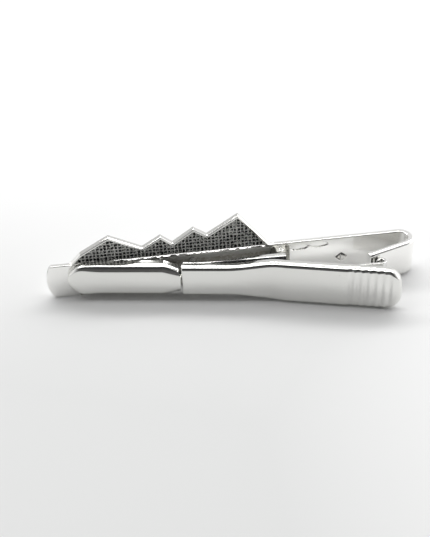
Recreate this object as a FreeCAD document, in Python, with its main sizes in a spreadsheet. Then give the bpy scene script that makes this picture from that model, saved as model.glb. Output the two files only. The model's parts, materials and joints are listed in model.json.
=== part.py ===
import FreeCAD, Part
import math
import os

from FreeCAD import Placement, Rotation, Vector

# A spring tie clip, standing on its long lower edge.
# X runs along the bar from its rounded end to the bow, +Y points out of the decorated front,
# +Z runs across the bar. The origin is the middle of the bar's lower edge, half way through the strip.
doc = FreeCAD.newDocument("tie_clip")
sheet = doc.addObject("Spreadsheet::Sheet", "sizes")

# Driving sizes, in millimetres and degrees
DRIVING_SIZES = [
    # One bent strip: bar, bow and return strap
    ("bar_length", 58.0),
    ("strip_width", 6.0),
    ("strip_thick", 1.0),
    ("end_bulge", 0.9),
    ("bow_radius", 1.25),
    ("strap_splay", 19.0),
    ("strap_run", 6.75),
    # Skyline crest that stands on the bar's upper edge
    ("crest_start", 4.0),
    ("crest_length", 32.0),
    ("crest_height", 6.1),
    ("crest_rim", 0.35),
    ("crest_recess", 0.5),
    # Pivot bracket, pin and knuckle; the pivot is measured from the bow end, where lever and strap meet
    ("pivot_from_end", 21.2),
    ("pivot_height", 1.35),
    ("pin_radius", 0.35),
    ("pin_clearance", 0.04),
    ("pin_proud", 0.1),
    ("knuckle_radius", 0.75),
    ("knuckle_width", 3.2),
    ("knuckle_side_clearance", 0.1),
    ("ear_radius", 0.8),
    ("ear_thick", 0.55),
    ("foot_length", 3.2),
    ("foot_thick", 0.3),
    # Boat-shaped jaw with its neck, seat and hinge leaf
    ("jaw_reach", 33.1),
    ("jaw_width", 5.6),
    ("jaw_thick", 1.1),
    ("jaw_tip_width", 1.8),
    ("jaw_tip_taper", 1.7),
    ("jaw_heel_width", 2.4),
    ("jaw_heel_taper", 2.6),
    ("flange_depth", 2.15),
    ("flange_thick", 0.5),
    ("neck_width", 1.4),
    ("waist_gap", 0.4),
    ("neck_clearance", 0.05),
    ("grip_gap", 0.05),
    ("leaf_thick", 0.7),
    ("leaf_seat_length", 3.6),
    ("leaf_seat_width", 5.0),
    # Thumb lever with its flared pad and finger ribs
    ("lever_rise", 5.55),
    ("lever_lift", 0.6),
    ("lever_thick", 1.6),
    ("lever_back", 15.2),
    ("lever_width", 5.4),
    ("flare_start", 8.5),
    ("flare_end", 0.5),
    ("pad_width", 7.2),
    ("pad_bend", 6.2),
    ("bend_back", 3.0),
    ("pad_reach", 21.3),
    ("pad_corner", 2.6),
    ("groove_pitch", 1.15),
    ("groove_depth", 0.12),
    ("groove_width", 0.9),
    ("groove_inset", 1.9),
    # Eyelet rivets through lever and seat
    ("rivet_radius", 0.45),
    ("rivet_bore_radius", 0.22),
    ("rivet_head_radius", 0.65),
    ("rivet_head_height", 1.0),
    ("rivet_spread", 3.6),
    # Curled tongue inside the lever, which bears on the strap
    ("tongue_thick", 0.8),
    ("tongue_width", 4.0),
    ("tongue_clearance", 0.12),
    ("tongue_seat_start", 1.0),
    ("tongue_seat_length", 3.5),
    ("tongue_hook_run", 1.55),
    ("tongue_hook_drop", 1.0),
    # How far cutting sketches pass the metal
    ("overrun", 1.0),
]
GROOVE_COUNT = 6

# Where along the strap the tongue bears, as a share of the strap's run
TONGUE_CONTACT_SHARE = 0.8
# Where the rivets lie along the leaf's seat
RIVET_PLACE_SHARE = 0.4
# Skyline: share of the crest's length, share of its height
SKYLINE_SHARES = [
    (0.0, 0.0), (0.052, 0.281), (0.156, 0.6), (0.197, 0.717), (0.355, 0.286), (0.447, 0.581),
    (0.502, 0.332), (0.607, 0.715), (0.671, 0.48), (0.826, 1.0), (1.0, 0.0),
]

for row, (alias, number) in enumerate(DRIVING_SIZES, start=1):
    sheet.set(f"A{row}", alias)
    sheet.set(f"B{row}", str(number))
    sheet.setAlias(f"B{row}", alias)
doc.recompute()


def size(alias):
    """Value of one driving size."""
    return float(sheet.get(alias))


def bind(feature, **sizes):
    """Bind a feature's properties to expressions of the driving sizes."""
    for prop, expression in sizes.items():
        feature.setExpression(prop, expression)


def new_body(label):
    """An empty body whose label names the piece."""
    body = doc.addObject("PartDesign::Body", label)
    body.Label = label
    return body


def edges_along(path):
    """Closed outline from a path of points; a pair of points is an arc through the first to the second."""
    start = path[0]
    here = start
    edges = []
    for step in path[1:] + [start]:
        if isinstance(step[0], tuple):
            through, there = step
            edges.append(Part.Arc(Vector(*here, 0), Vector(*through, 0), Vector(*there, 0)))
        else:
            there = step
            if there != here:
                edges.append(Part.LineSegment(Vector(*here, 0), Vector(*there, 0)))
        here = there
    return edges


def circle(centre, radius):
    """Full circle as a one-edge outline."""
    return [Part.Circle(Vector(*centre, 0), Vector(0, 0, 1), radius)]


def new_sketch(body, name, plane_role, *outlines):
    """Sketch on one of the body's own origin planes."""
    plane = next(p for p in body.Origin.OriginFeatures if p.Role == plane_role)
    sketch = body.newObject("Sketcher::SketchObject", name)
    sketch.AttachmentSupport = [(plane, "")]
    sketch.MapMode = "FlatFace"
    for outline in outlines:
        sketch.addGeometry(outline, False)
    return sketch


def pad(body, sketch, length, symmetric=True):
    """Add metal on a sketch, to both sides of it or only along its normal."""
    feature = body.newObject("PartDesign::Pad", sketch.Name + "_pad")
    feature.Profile = sketch
    feature.SideType = "Symmetric" if symmetric else "One side"
    bind(feature, Length=length)
    doc.recompute()
    return feature


def pocket(body, sketch, length=None):
    """Cut a sketch out of the body, to both sides of it: right through, or to a total length."""
    before = body.Shape.Volume
    feature = body.newObject("PartDesign::Pocket", sketch.Name + "_pocket")
    feature.Profile = sketch
    feature.SideType = "Symmetric"
    if length is None:
        feature.Type = "ThroughAll"
    else:
        bind(feature, Length=length)
    doc.recompute()
    if not body.Shape.Volume < before:
        raise RuntimeError(feature.Name + " cuts nothing")
    return feature


def mirrored(half):
    """Closed path from a half outline given above its centre line, left to right."""
    return half + [(x, -y) for x, y in reversed(half)]


def around(path, margin):
    """Rectangle that passes an outline by a margin on every side."""
    points = [step[1] if isinstance(step[0], tuple) else step for step in path]
    xs = [p[0] for p in points]
    ys = [p[1] for p in points]
    low = (min(xs) - margin, min(ys) - margin)
    high = (max(xs) + margin, max(ys) + margin)
    return [low, (high[0], low[1]), high, (low[0], high[1])]


def crossing(p, d, q, e):
    """Point where the line through p along d meets the line through q along e."""
    cross = d[0] * e[1] - d[1] * e[0]
    along = ((q[0] - p[0]) * e[1] - (q[1] - p[1]) * e[0]) / cross
    return (p[0] + along * d[0], p[1] + along * d[1])


def direction(p, q):
    """Unit vector from p to q."""
    run = math.hypot(q[0] - p[0], q[1] - p[1])
    return ((q[0] - p[0]) / run, (q[1] - p[1]) / run)


def beside(points, offset, closed):
    """Mitred line at an offset to the left of a line of points."""
    ways = [direction(p, q) for p, q in zip(points, points[1:] + points[:1])]
    if not closed:
        ways[-1] = ways[-2]
    result = []
    for index, point in enumerate(points):
        after = ways[index]
        before = ways[index - 1] if closed or index else after
        p = (point[0] - offset * before[1], point[1] + offset * before[0])
        q = (point[0] - offset * after[1], point[1] + offset * after[0])
        straight = abs(before[0] * after[1] - before[1] * after[0]) < 1e-9
        result.append(p if straight else crossing(p, before, q, after))
    return result


# Places that several pieces share
half_strip = size("strip_thick") / 2
bar_left = -size("bar_length") / 2
bow_outer = size("bow_radius") + size("strip_thick")
bow_x = -bar_left - bow_outer
bow_y = -half_strip - size("bow_radius")
splay = math.radians(size("strap_splay"))
strap_way = (-math.cos(splay), -math.sin(splay))
strap_normal = (math.sin(splay), -math.cos(splay))
pivot = (-bar_left - size("pivot_from_end"), -half_strip - size("pivot_height"))
lever_middle = size("strip_width") / 2 + size("lever_lift")
bracket_width_rule = "sizes.knuckle_width + 2 * sizes.knuckle_side_clearance + 2 * sizes.ear_thick"

# The lever's own frame: origin on the pivot, x towards the thumb end, y towards the bar.
# The closed angle brings the jaw's tip to the grip gap from the bar's back.
lever_outer = -size("lever_rise")
lever_inner = lever_outer + size("lever_thick")
jaw_inner = lever_outer + size("jaw_thick")
closed_angle = math.asin((size("pivot_height") - size("grip_gap")) / math.hypot(size("jaw_reach"), jaw_inner))
closed_angle += math.atan2(-jaw_inner, size("jaw_reach"))
lever_place = Placement(Vector(*pivot, lever_middle), Rotation(Vector(0, 0, 1), -math.degrees(closed_angle)))
rivet_x = -size("lever_back") + RIVET_PLACE_SHARE * size("leaf_seat_length")
rivet_places = [(rivet_x, side * size("rivet_spread") / 2) for side in (-1, 1)]


def in_lever_frame(point):
    """A point of the part's plan, seen from the lever's own frame."""
    moved = lever_place.inverse().multVec(Vector(*point, lever_middle))
    return (moved.x, moved.y)


def front_bar():
    """Flat bar with a gently rounded end, up to where the bow begins."""
    body = new_body("front_bar")
    corner = bar_left + size("end_bulge")
    width = size("strip_width")
    path = [(corner, 0), (bow_x, 0), (bow_x, width), (corner, width), ((bar_left, width / 2), (corner, 0))]
    pad(body, new_sketch(body, "bar_outline", "XZ_Plane", edges_along(path)), "sizes.strip_thick")
    return body


def spring_bow():
    """Bend at the bar's end, which is the clip's spring."""
    body = new_body("spring_bow")
    last = -math.pi / 2 + splay
    middle = (math.pi / 2 + last) / 2

    def on_ring(radius, angle):
        return (bow_x + radius * math.cos(angle), bow_y + radius * math.sin(angle))

    inner = size("bow_radius")
    path = [
        on_ring(inner, math.pi / 2),
        (on_ring(inner, middle), on_ring(inner, last)),
        on_ring(bow_outer, last),
        (on_ring(bow_outer, middle), on_ring(bow_outer, math.pi / 2)),
    ]
    pad(body, new_sketch(body, "bow_section", "XY_Plane", edges_along(path)), "sizes.strip_width", symmetric=False)
    return body


def return_strap():
    """Straight end of the strip, drawn from the bow's centre with x along the strap."""
    body = new_body("return_strap")
    path = [(0, size("bow_radius")), (size("strap_run"), size("bow_radius")), (size("strap_run"), bow_outer), (0, bow_outer)]
    pad(body, new_sketch(body, "strap_section", "XY_Plane", edges_along(path)), "sizes.strip_width", symmetric=False)
    body.Placement = Placement(Vector(bow_x, bow_y, 0), Rotation(Vector(0, 0, 1), 180))
    bind(body, **{"Placement.Rotation.Angle": "180 + sizes.strap_splay"})
    return body


def crest():
    """Skyline plate on the bar's upper edge, hollowed at the back inside a narrow rim."""
    body = new_body("crest")
    left = bar_left + size("crest_start")
    outline = [
        (left + along * size("crest_length"), size("strip_width") + up * size("crest_height"))
        for along, up in SKYLINE_SHARES
    ]
    pad(body, new_sketch(body, "skyline", "XZ_Plane", edges_along(outline)), "sizes.strip_thick")
    hollow = beside(outline, -size("crest_rim"), closed=True)
    sketch = new_sketch(body, "hollow", "XZ_Plane", edges_along(hollow))
    bind(sketch, **{"AttachmentOffset.Base.z": "sizes.strip_thick / 2"})
    pocket(body, sketch, "2 * sizes.crest_recess")
    return body


def pivot_bracket():
    """Foot on the bar's back with two ears that hold the pivot pin."""
    body = new_body("pivot_bracket")
    ear = size("ear_radius")
    back = size("pivot_height")
    step = back - size("foot_thick")
    foot = size("foot_length") / 2
    path = [(-foot, back), (-foot, step), (-ear, step), (-ear, 0), ((0, -ear), (ear, 0)), (ear, step), (foot, step), (foot, back)]
    pad(body, new_sketch(body, "ear_profile", "XY_Plane", edges_along(path)), bracket_width_rule)
    clear = foot + size("overrun")
    gap = [(-clear, -clear), (clear, -clear), (clear, step), (-clear, step)]
    gap_width = "sizes.knuckle_width + 2 * sizes.knuckle_side_clearance"
    pocket(body, new_sketch(body, "knuckle_gap", "XY_Plane", edges_along(gap)), gap_width)
    pocket(body, new_sketch(body, "pin_hole", "XY_Plane", circle((0, 0), size("pin_radius"))))
    body.Placement = Placement(Vector(*pivot, lever_middle), Rotation())
    return body


def pivot_pin():
    """Plain pin, fast in the ears, on which the knuckle turns."""
    pin = doc.addObject("Part::Cylinder", "pivot_pin")
    pin.Label = "pivot_pin"
    pin.Placement = Placement(Vector(*pivot, 0), Rotation())
    long_rule = f"{bracket_width_rule} + 2 * sizes.pin_proud"
    bind(pin, Radius="sizes.pin_radius", Height=long_rule)
    bind(pin, **{"Placement.Base.z": f"sizes.strip_width / 2 + sizes.lever_lift - ({long_rule}) / 2"})
    return pin


def jaw():
    """Pressed strip: boat-shaped jaw, waist, seat under the lever, tapering hinge leaf and knuckle."""
    body = new_body("jaw")
    tip = -size("jaw_reach")
    neck_start = -(size("lever_back") + size("waist_gap"))
    neck_end = -(size("lever_back") + size("neck_clearance"))
    seat_end = -(size("lever_back") - size("leaf_seat_length"))
    leaf_far = lever_inner + size("leaf_thick")
    knuckle = size("knuckle_radius")

    # The leaf leaves the seat in a line that touches the knuckle on the lever's side
    lean = math.acos(knuckle / math.hypot(seat_end, lever_inner)) - math.atan2(-seat_end, -lever_inner)
    way = (math.cos(lean), math.sin(lean))
    run = -seat_end * way[0] - lever_inner * way[1]
    touch = (seat_end + run * way[0], lever_inner + run * way[1])
    across = (-size("leaf_thick") * way[1], size("leaf_thick") * way[0])
    touch_far = (touch[0] + across[0], touch[1] + across[1])
    bend_far = crossing(touch_far, way, (seat_end, leaf_far), (1, 0))
    strip = [
        (tip, lever_outer), (neck_end, lever_outer), (neck_end, lever_inner), (seat_end, lever_inner), touch,
        touch_far, bend_far, (neck_start, leaf_far), (neck_start, jaw_inner), (tip, jaw_inner),
    ]
    pad(body, new_sketch(body, "jaw_strip", "XY_Plane", edges_along(strip)), "sizes.jaw_width")

    # Side flanges, which deepen from the tip to the waist
    flange_start = tip + size("jaw_tip_taper")
    flange_end = neck_start - size("jaw_heel_taper")
    flange_edge = lever_outer + size("flange_depth")
    flange = [(flange_start, lever_outer), (flange_end, lever_outer), (flange_end, flange_edge), (flange_start, jaw_inner)]
    pad(body, new_sketch(body, "jaw_flange", "XY_Plane", edges_along(flange)), "sizes.jaw_width")
    between = [(flange_start, jaw_inner), (flange_end, jaw_inner), (flange_end, flange_edge)]
    pocket(body, new_sketch(body, "jaw_hollow", "XY_Plane", edges_along(between)), "sizes.jaw_width - 2 * sizes.flange_thick")
    pad(body, new_sketch(body, "knuckle_round", "XY_Plane", circle((0, 0), knuckle)), "sizes.knuckle_width")

    # Outline of the strip seen from the lever's side
    half = [
        (tip, size("jaw_tip_width") / 2), (flange_start, size("jaw_width") / 2), (flange_end, size("jaw_width") / 2),
        (neck_start, size("jaw_heel_width") / 2), (neck_start, size("neck_width") / 2),
        (-size("lever_back"), size("neck_width") / 2), (-size("lever_back"), size("leaf_seat_width") / 2),
        (seat_end, size("leaf_seat_width") / 2), (-size("foot_length") / 2, size("knuckle_width") / 2),
        (knuckle + size("overrun"), size("knuckle_width") / 2),
    ]
    plan = mirrored(half)
    margin = around(plan, size("overrun"))
    pocket(body, new_sketch(body, "jaw_plan", "XZ_Plane", edges_along(plan), edges_along(margin)))
    bore = circle((0, 0), size("pin_radius") + size("pin_clearance"))
    pocket(body, new_sketch(body, "knuckle_bore", "XY_Plane", bore))
    holes = [circle(place, size("rivet_radius")) for place in rivet_places]
    pocket(body, new_sketch(body, "seat_holes", "XZ_Plane", *holes))
    body.Placement = lever_place
    return body


def pad_point(along):
    """Point of the thumb pad's outer face, at a distance from the lever's bend."""
    bend = math.radians(size("pad_bend"))
    return (-size("bend_back") + along * math.cos(bend), lever_outer - along * math.sin(bend))


def inward_from(point, depth):
    """Point at a depth inside the thumb pad's outer face."""
    bend = math.radians(size("pad_bend"))
    return (point[0] + depth * math.sin(bend), point[1] + depth * math.cos(bend))


def thumb_lever():
    """Pressed lever: straight stretch over the seat, then a flared and ribbed pad bent outwards."""
    body = new_body("thumb_lever")
    back = -size("lever_back")
    bend = -size("bend_back")
    bend_inner = bend + size("lever_thick") * math.tan(math.radians(size("pad_bend")) / 2)
    end = pad_point(size("pad_reach"))
    profile = [
        (back, lever_outer), (bend, lever_outer), end, inward_from(end, size("lever_thick")),
        (bend_inner, lever_inner), (back, lever_inner),
    ]
    pad(body, new_sketch(body, "lever_profile", "XY_Plane", edges_along(profile)), "sizes.pad_width")

    # Shallow round grooves across the pad leave the finger ribs between them
    half_groove = size("groove_width") / 2
    depth = size("groove_depth")
    grooves = []
    for index in range(GROOVE_COUNT):
        along = size("pad_reach") - size("groove_inset") - index * size("groove_pitch")
        left = pad_point(along - half_groove)
        right = pad_point(along + half_groove)
        bottom = inward_from(pad_point(along), depth)
        grooves.append(edges_along([left, (bottom, right), inward_from(right, -depth), inward_from(left, -depth)]))
    pocket(body, new_sketch(body, "rib_grooves", "XY_Plane", *grooves))

    # Outline of the lever seen from outside, with a rounded thumb end
    narrow = size("lever_width") / 2
    wide = size("pad_width") / 2
    corner = size("pad_corner")
    chord = corner * (1 - math.sqrt(0.5))
    plan = [
        (back, narrow), (-size("flare_start"), narrow), (size("flare_end"), wide), (end[0] - corner, wide),
        ((end[0] - chord, wide - chord), (end[0], wide - corner)), (end[0], corner - wide),
        ((end[0] - chord, chord - wide), (end[0] - corner, -wide)),
        (size("flare_end"), -wide), (-size("flare_start"), -narrow), (back, -narrow),
    ]
    margin = around(plan, size("overrun"))
    pocket(body, new_sketch(body, "lever_plan", "XZ_Plane", edges_along(plan), edges_along(margin)))
    holes = [circle(place, size("rivet_radius")) for place in rivet_places]
    pocket(body, new_sketch(body, "lever_holes", "XZ_Plane", *holes))
    body.Placement = lever_place
    return body


def strap_tongue():
    """Curled tongue soldered inside the pad; its round end bears on the strap's outer face."""
    body = new_body("strap_tongue")
    half = size("tongue_thick") / 2
    out = bow_outer + size("tongue_clearance") + half
    along = TONGUE_CONTACT_SHARE * size("strap_run")
    tip = in_lever_frame((
        bow_x + out * strap_normal[0] + along * strap_way[0],
        bow_y + out * strap_normal[1] + along * strap_way[1],
    ))
    seat_depth = size("lever_thick") + half
    line = [
        inward_from(pad_point(size("tongue_seat_start")), seat_depth),
        inward_from(pad_point(size("tongue_seat_start") + size("tongue_seat_length")), seat_depth),
        (tip[0] - size("tongue_hook_run"), tip[1] - size("tongue_hook_drop")),
        tip,
    ]
    near = beside(line, -half, closed=False)
    far = beside(line, half, closed=False)
    nose_way = direction(line[-2], tip)
    nose = (tip[0] + half * nose_way[0], tip[1] + half * nose_way[1])
    path = near + [(nose, far[-1])] + far[-2::-1]
    pad(body, new_sketch(body, "tongue_profile", "XY_Plane", edges_along(path)), "sizes.tongue_width")
    body.Placement = lever_place
    return body


def leaf_rivets():
    """Two eyelet rivets, flush outside, whose rolled heads show on the bar's side."""
    rivets = []
    for number, (along, side) in enumerate(rivet_places, start=1):
        turn = Rotation(Vector(1, 0, 0), -90)
        shank = doc.addObject("Part::Cylinder", f"rivet_shank_{number}")
        shank.Placement = Placement(Vector(along, lever_outer, side), turn)
        bind(shank, Radius="sizes.rivet_radius", Height="sizes.lever_thick + sizes.leaf_thick")
        head = doc.addObject("Part::Cone", f"rivet_head_{number}")
        head.Placement = Placement(Vector(along, lever_inner + size("leaf_thick"), side), turn)
        bind(head, Radius1="sizes.rivet_head_radius", Radius2="sizes.rivet_radius", Height="sizes.rivet_head_height")
        whole = doc.addObject("Part::Fuse", f"rivet_blank_{number}")
        whole.Base = shank
        whole.Tool = head
        bore = doc.addObject("Part::Cylinder", f"rivet_bore_{number}")
        bore.Placement = Placement(Vector(along, lever_inner, side), turn)
        bind(bore, Radius="sizes.rivet_bore_radius",
             Height="sizes.leaf_thick + sizes.rivet_head_height + sizes.overrun")
        rivet = doc.addObject("Part::Cut", f"rivet_{number}")
        rivet.Base = whole
        rivet.Tool = bore
        rivets.append(rivet)
    pair = doc.addObject("Part::Compound", "leaf_rivets")
    pair.Label = "leaf_rivets"
    pair.Links = rivets
    pair.Placement = lever_place
    return pair


pieces = [make() for make in (
    front_bar, spring_bow, return_strap, crest, pivot_bracket, pivot_pin, jaw, thumb_lever, strap_tongue, leaf_rivets,
)]
doc.recompute()

for item in doc.Objects:
    if "Invalid" in item.State or "Error" in item.State:
        raise RuntimeError(f"{item.Name} did not compute: {item.State}")
for piece in pieces:
    if piece.Shape.isNull() or not piece.Shape.isValid():
        raise RuntimeError(f"{piece.Label} has no valid shape")

os.makedirs("parts", exist_ok=True)
for piece in pieces:
    piece.Shape.exportStep(f"parts/{piece.Label}.step")
    box = piece.Shape.BoundBox
    print(f"{piece.Label}: {len(piece.Shape.Solids)} solid(s), {piece.Shape.Volume:.2f} mm3, "
          f"X {box.XMin:.2f}..{box.XMax:.2f} Y {box.YMin:.2f}..{box.YMax:.2f} Z {box.ZMin:.2f}..{box.ZMax:.2f}")
print(f"pivot {pivot[0]:.4f} {pivot[1]:.4f}, bow centre {bow_x:.4f} {bow_y:.4f}, closed {math.degrees(closed_angle):.3f} deg")
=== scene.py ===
"""Spring tie clip in polished silver, seen from its back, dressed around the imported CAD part."""
import json
import math
from random import Random

import bmesh
import bpy
from bpy.props import FloatProperty, FloatVectorProperty, IntProperty, PointerProperty
from mathutils import Matrix, Vector


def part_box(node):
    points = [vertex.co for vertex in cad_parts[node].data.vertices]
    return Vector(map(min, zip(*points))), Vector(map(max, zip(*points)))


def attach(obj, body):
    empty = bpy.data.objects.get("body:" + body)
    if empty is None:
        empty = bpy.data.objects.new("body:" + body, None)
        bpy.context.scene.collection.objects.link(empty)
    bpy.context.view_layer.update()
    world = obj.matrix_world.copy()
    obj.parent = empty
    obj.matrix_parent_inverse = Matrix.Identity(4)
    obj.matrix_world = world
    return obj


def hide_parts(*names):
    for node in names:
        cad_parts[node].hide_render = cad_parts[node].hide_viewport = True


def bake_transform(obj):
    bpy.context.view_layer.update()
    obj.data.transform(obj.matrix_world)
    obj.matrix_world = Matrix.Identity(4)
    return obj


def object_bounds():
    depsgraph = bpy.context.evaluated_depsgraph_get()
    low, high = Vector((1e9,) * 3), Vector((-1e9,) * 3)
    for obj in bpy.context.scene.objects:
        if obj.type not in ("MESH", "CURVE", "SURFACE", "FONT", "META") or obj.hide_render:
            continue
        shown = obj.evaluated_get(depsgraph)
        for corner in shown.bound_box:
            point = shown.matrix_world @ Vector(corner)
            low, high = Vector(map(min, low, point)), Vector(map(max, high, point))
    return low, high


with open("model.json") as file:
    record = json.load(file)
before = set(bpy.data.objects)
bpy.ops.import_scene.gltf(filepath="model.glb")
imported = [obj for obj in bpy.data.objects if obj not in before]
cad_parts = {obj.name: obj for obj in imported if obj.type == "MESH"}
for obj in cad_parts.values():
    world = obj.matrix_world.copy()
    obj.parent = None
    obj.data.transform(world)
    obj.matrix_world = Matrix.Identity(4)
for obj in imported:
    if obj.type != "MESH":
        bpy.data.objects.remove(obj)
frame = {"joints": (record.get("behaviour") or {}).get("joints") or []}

bl_info = {
    "name": "Spring tie clip",
    "version": (1, 0, 0),
    "blender": (4, 5, 0),
    "location": "View3D > Sidebar > Tie clip",
    "description": "Builds a silver spring tie clip with a skyline crest, and its studio",
    "category": "Add Mesh",
}

CAD_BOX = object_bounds()
JOINTS = {joint["name"]: Vector(joint["pos_m"]) for joint in frame["joints"]}
HINGE, BOW = JOINTS["lever_hinge"], JOINTS["strap_flex"]
BAR_LOW, BAR_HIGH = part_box("front_bar")

ARC_STEPS = 5
# Metres: edge of a thin strip, gap that keeps faces out of one plane, distance under which points are one
STRIP_EDGE, HAIR, SAME = 0.0001, 0.00001, 1e-7
# How far the middle of a quarter round lies inside its corner, as a share of its radius
CHAMFER = 0.29
# How much rounding a strip's end ring loses, as a share of its inset
END_LOSS = 0.9
# Skyline of the crest: share of its length, share of its height
SKYLINE_SHARES = [
    (0.0, 0.0), (0.052, 0.281), (0.156, 0.6), (0.197, 0.717), (0.355, 0.286), (0.447, 0.581),
    (0.502, 0.332), (0.607, 0.715), (0.671, 0.48), (0.826, 1.0), (0.976, 0.0),
]
# Rounding of a pressed edge, sampled by how far each line lies inside the edge, as shares of its radius
EDGE_SHARES = (0.0, 0.01, 0.04, 0.1, 0.18, 0.29, 0.43, 0.6, 0.8, 1.0)
# Blank dimples in the bar's back: middle along and across the bar, half length, half width
OVALS = ((0.01075, 0.0050, 0.00165, 0.00055), (0.01405, 0.0051, 0.00155, 0.00048))
LOZENGE = (0.01775, 0.00225, 0.001, 0.00085)
# Depth of the lozenge against the ovals, and the stretch of the bar that is meshed finely for them
LOZENGE_DEPTH, FINE_START, FINE_END = 3.0, 0.0044, 0.0192
# Neck of the jaw: points along and outwards, first from the heel's outer face, then from the lever's seat
NECK_HEEL = ((-0.0008, 0.00012), (-0.0003, 0.00016), (0.0001, 0.0004))
NECK_SEAT = ((-0.00012, -0.0002), (0.0002, 0.00005), (0.0008, 0.0001))
# Tongue: both ends of its seat along the pad, then points along the pad and away from its inner face
TONGUE_SEAT = (0.001, 0.0105)
TONGUE_RISE = ((0.0119, 0.0003), (0.013, 0.0011), (0.0139, 0.0019), (0.0149, 0.0023))
# Where the knuckle's sheet leaves the leaf, seen from the pin, and how far knuckle and tongue curl in degrees
KNUCKLE_START, KNUCKLE_CURL, TONGUE_CURL = (-0.003, -0.0016), 296, 262


def length(name, millimetres, note):
    """A length property, given in millimetres and kept in metres."""
    return FloatProperty(name=name, description=note, default=millimetres / 1000, min=0.0, precision=5,
                         unit="LENGTH")


def angle(name, degrees, note):
    """An angle property, given in degrees and kept in radians."""
    return FloatProperty(name=name, description=note, default=math.radians(degrees), unit="ROTATION")


def share(name, value, note):
    """A plain number between nought and one."""
    return FloatProperty(name=name, description=note, default=value, min=0.0, max=1.0, precision=3)


def level(name, value, note):
    """A brightness."""
    return FloatProperty(name=name, description=note, default=value, min=0.0)


def colour(name, rgb, note):
    """A linear colour property."""
    return FloatVectorProperty(name=name, description=note, default=rgb, size=3, min=0.0, max=1.0,
                               subtype="COLOR")


class StripSizes(bpy.types.PropertyGroup):
    """Bent strip that is the bar, the bow and the return strap."""

    end_bulge: length("End bulge", 0.9, "How far the bar's free end bows out")
    inner_round: length("Inner round", 0.15, "Radius of the edges inside the bend")
    outer_round: length("Outer round", 0.45, "Radius of the edges outside the bend")
    strap_splay: angle("Strap splay", 19.0, "Slope of the return strap against the bar")
    strap_run: length("Strap run", 6.75, "Length of the straight return strap")
    dimple_depth: length("Dimple depth", 0.2, "Depth of the plain dimples in the bar's back")


class CrestSizes(bpy.types.PropertyGroup):
    """Skyline plate with a pitted hollow at its back."""

    edge_round: length("Edge round", 0.13, "Radius of the plate's edges")
    corner_round: length("Corner round", 0.2, "Radius of the peaks and valleys")
    rim: length("Rim", 0.42, "Width of the rim round the hollow")
    hollow_depth: length("Hollow depth", 0.3, "Depth of the hollow down to the ridges of its floor")
    lip: length("Lip", 0.14, "Rise of the sloping lip under the pits")
    lip_proud: length("Lip overhang", 0.13, "How far the lip stands out of the bar's back")
    lip_flush: length("Flush lip", 2.5, "Length of the lip's flush left end, and of its run-out")
    pit_pitch: length("Pit pitch", 0.58, "Distance from pit to pit")
    ridge: length("Ridge", 0.16, "Width of the ridges between the pits")
    pit_slope: length("Pit slope", 0.08, "How far a pit's walls lean in")
    pit_depth: length("Pit depth", 0.3, "Depth of the pits below the ridges")
    # Painted highlight: these shares of the pits' upward walls take the bright ridge metal instead of the
    # dark finish, more towards the right, to give glints
    glint_low: share("Rubbed walls, left", 0.15, "Share of the pits' upward walls rubbed bright, left")
    glint_high: share("Rubbed walls, right", 0.45, "Share of the pits' upward walls rubbed bright, right")
    bevel_drop: length("Bevel drop", 0.14, "Height of the bevel along the rim's back edge")
    bevel_depth: length("Bevel depth", 0.25, "Depth of the bevel along the rim's back edge")


class HingeSizes(bpy.types.PropertyGroup):
    """Bracket and pin on which the lever turns."""

    pin_radius: length("Pin radius", 0.35, "Radius of the pivot pin")
    pin_proud: length("Pin overhang", 0.1, "How far the pin's ends stand out of the ears")
    collar: length("Pin collar", 0.46, "Radius of the rolled collar at each end of the pin")
    ear_radius: length("Ear radius", 0.8, "Radius of the bracket's ears round the pin")
    ear_thick: length("Ear thickness", 0.55, "Thickness of each ear")
    foot_thick: length("Foot thickness", 0.3, "Thickness of the bracket's foot")
    edge_round: length("Edge round", 0.1, "Radius of the bracket's edges")
    foot_corner: length("Foot corner", 1.0, "Radius of the foot's corners")


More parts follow.
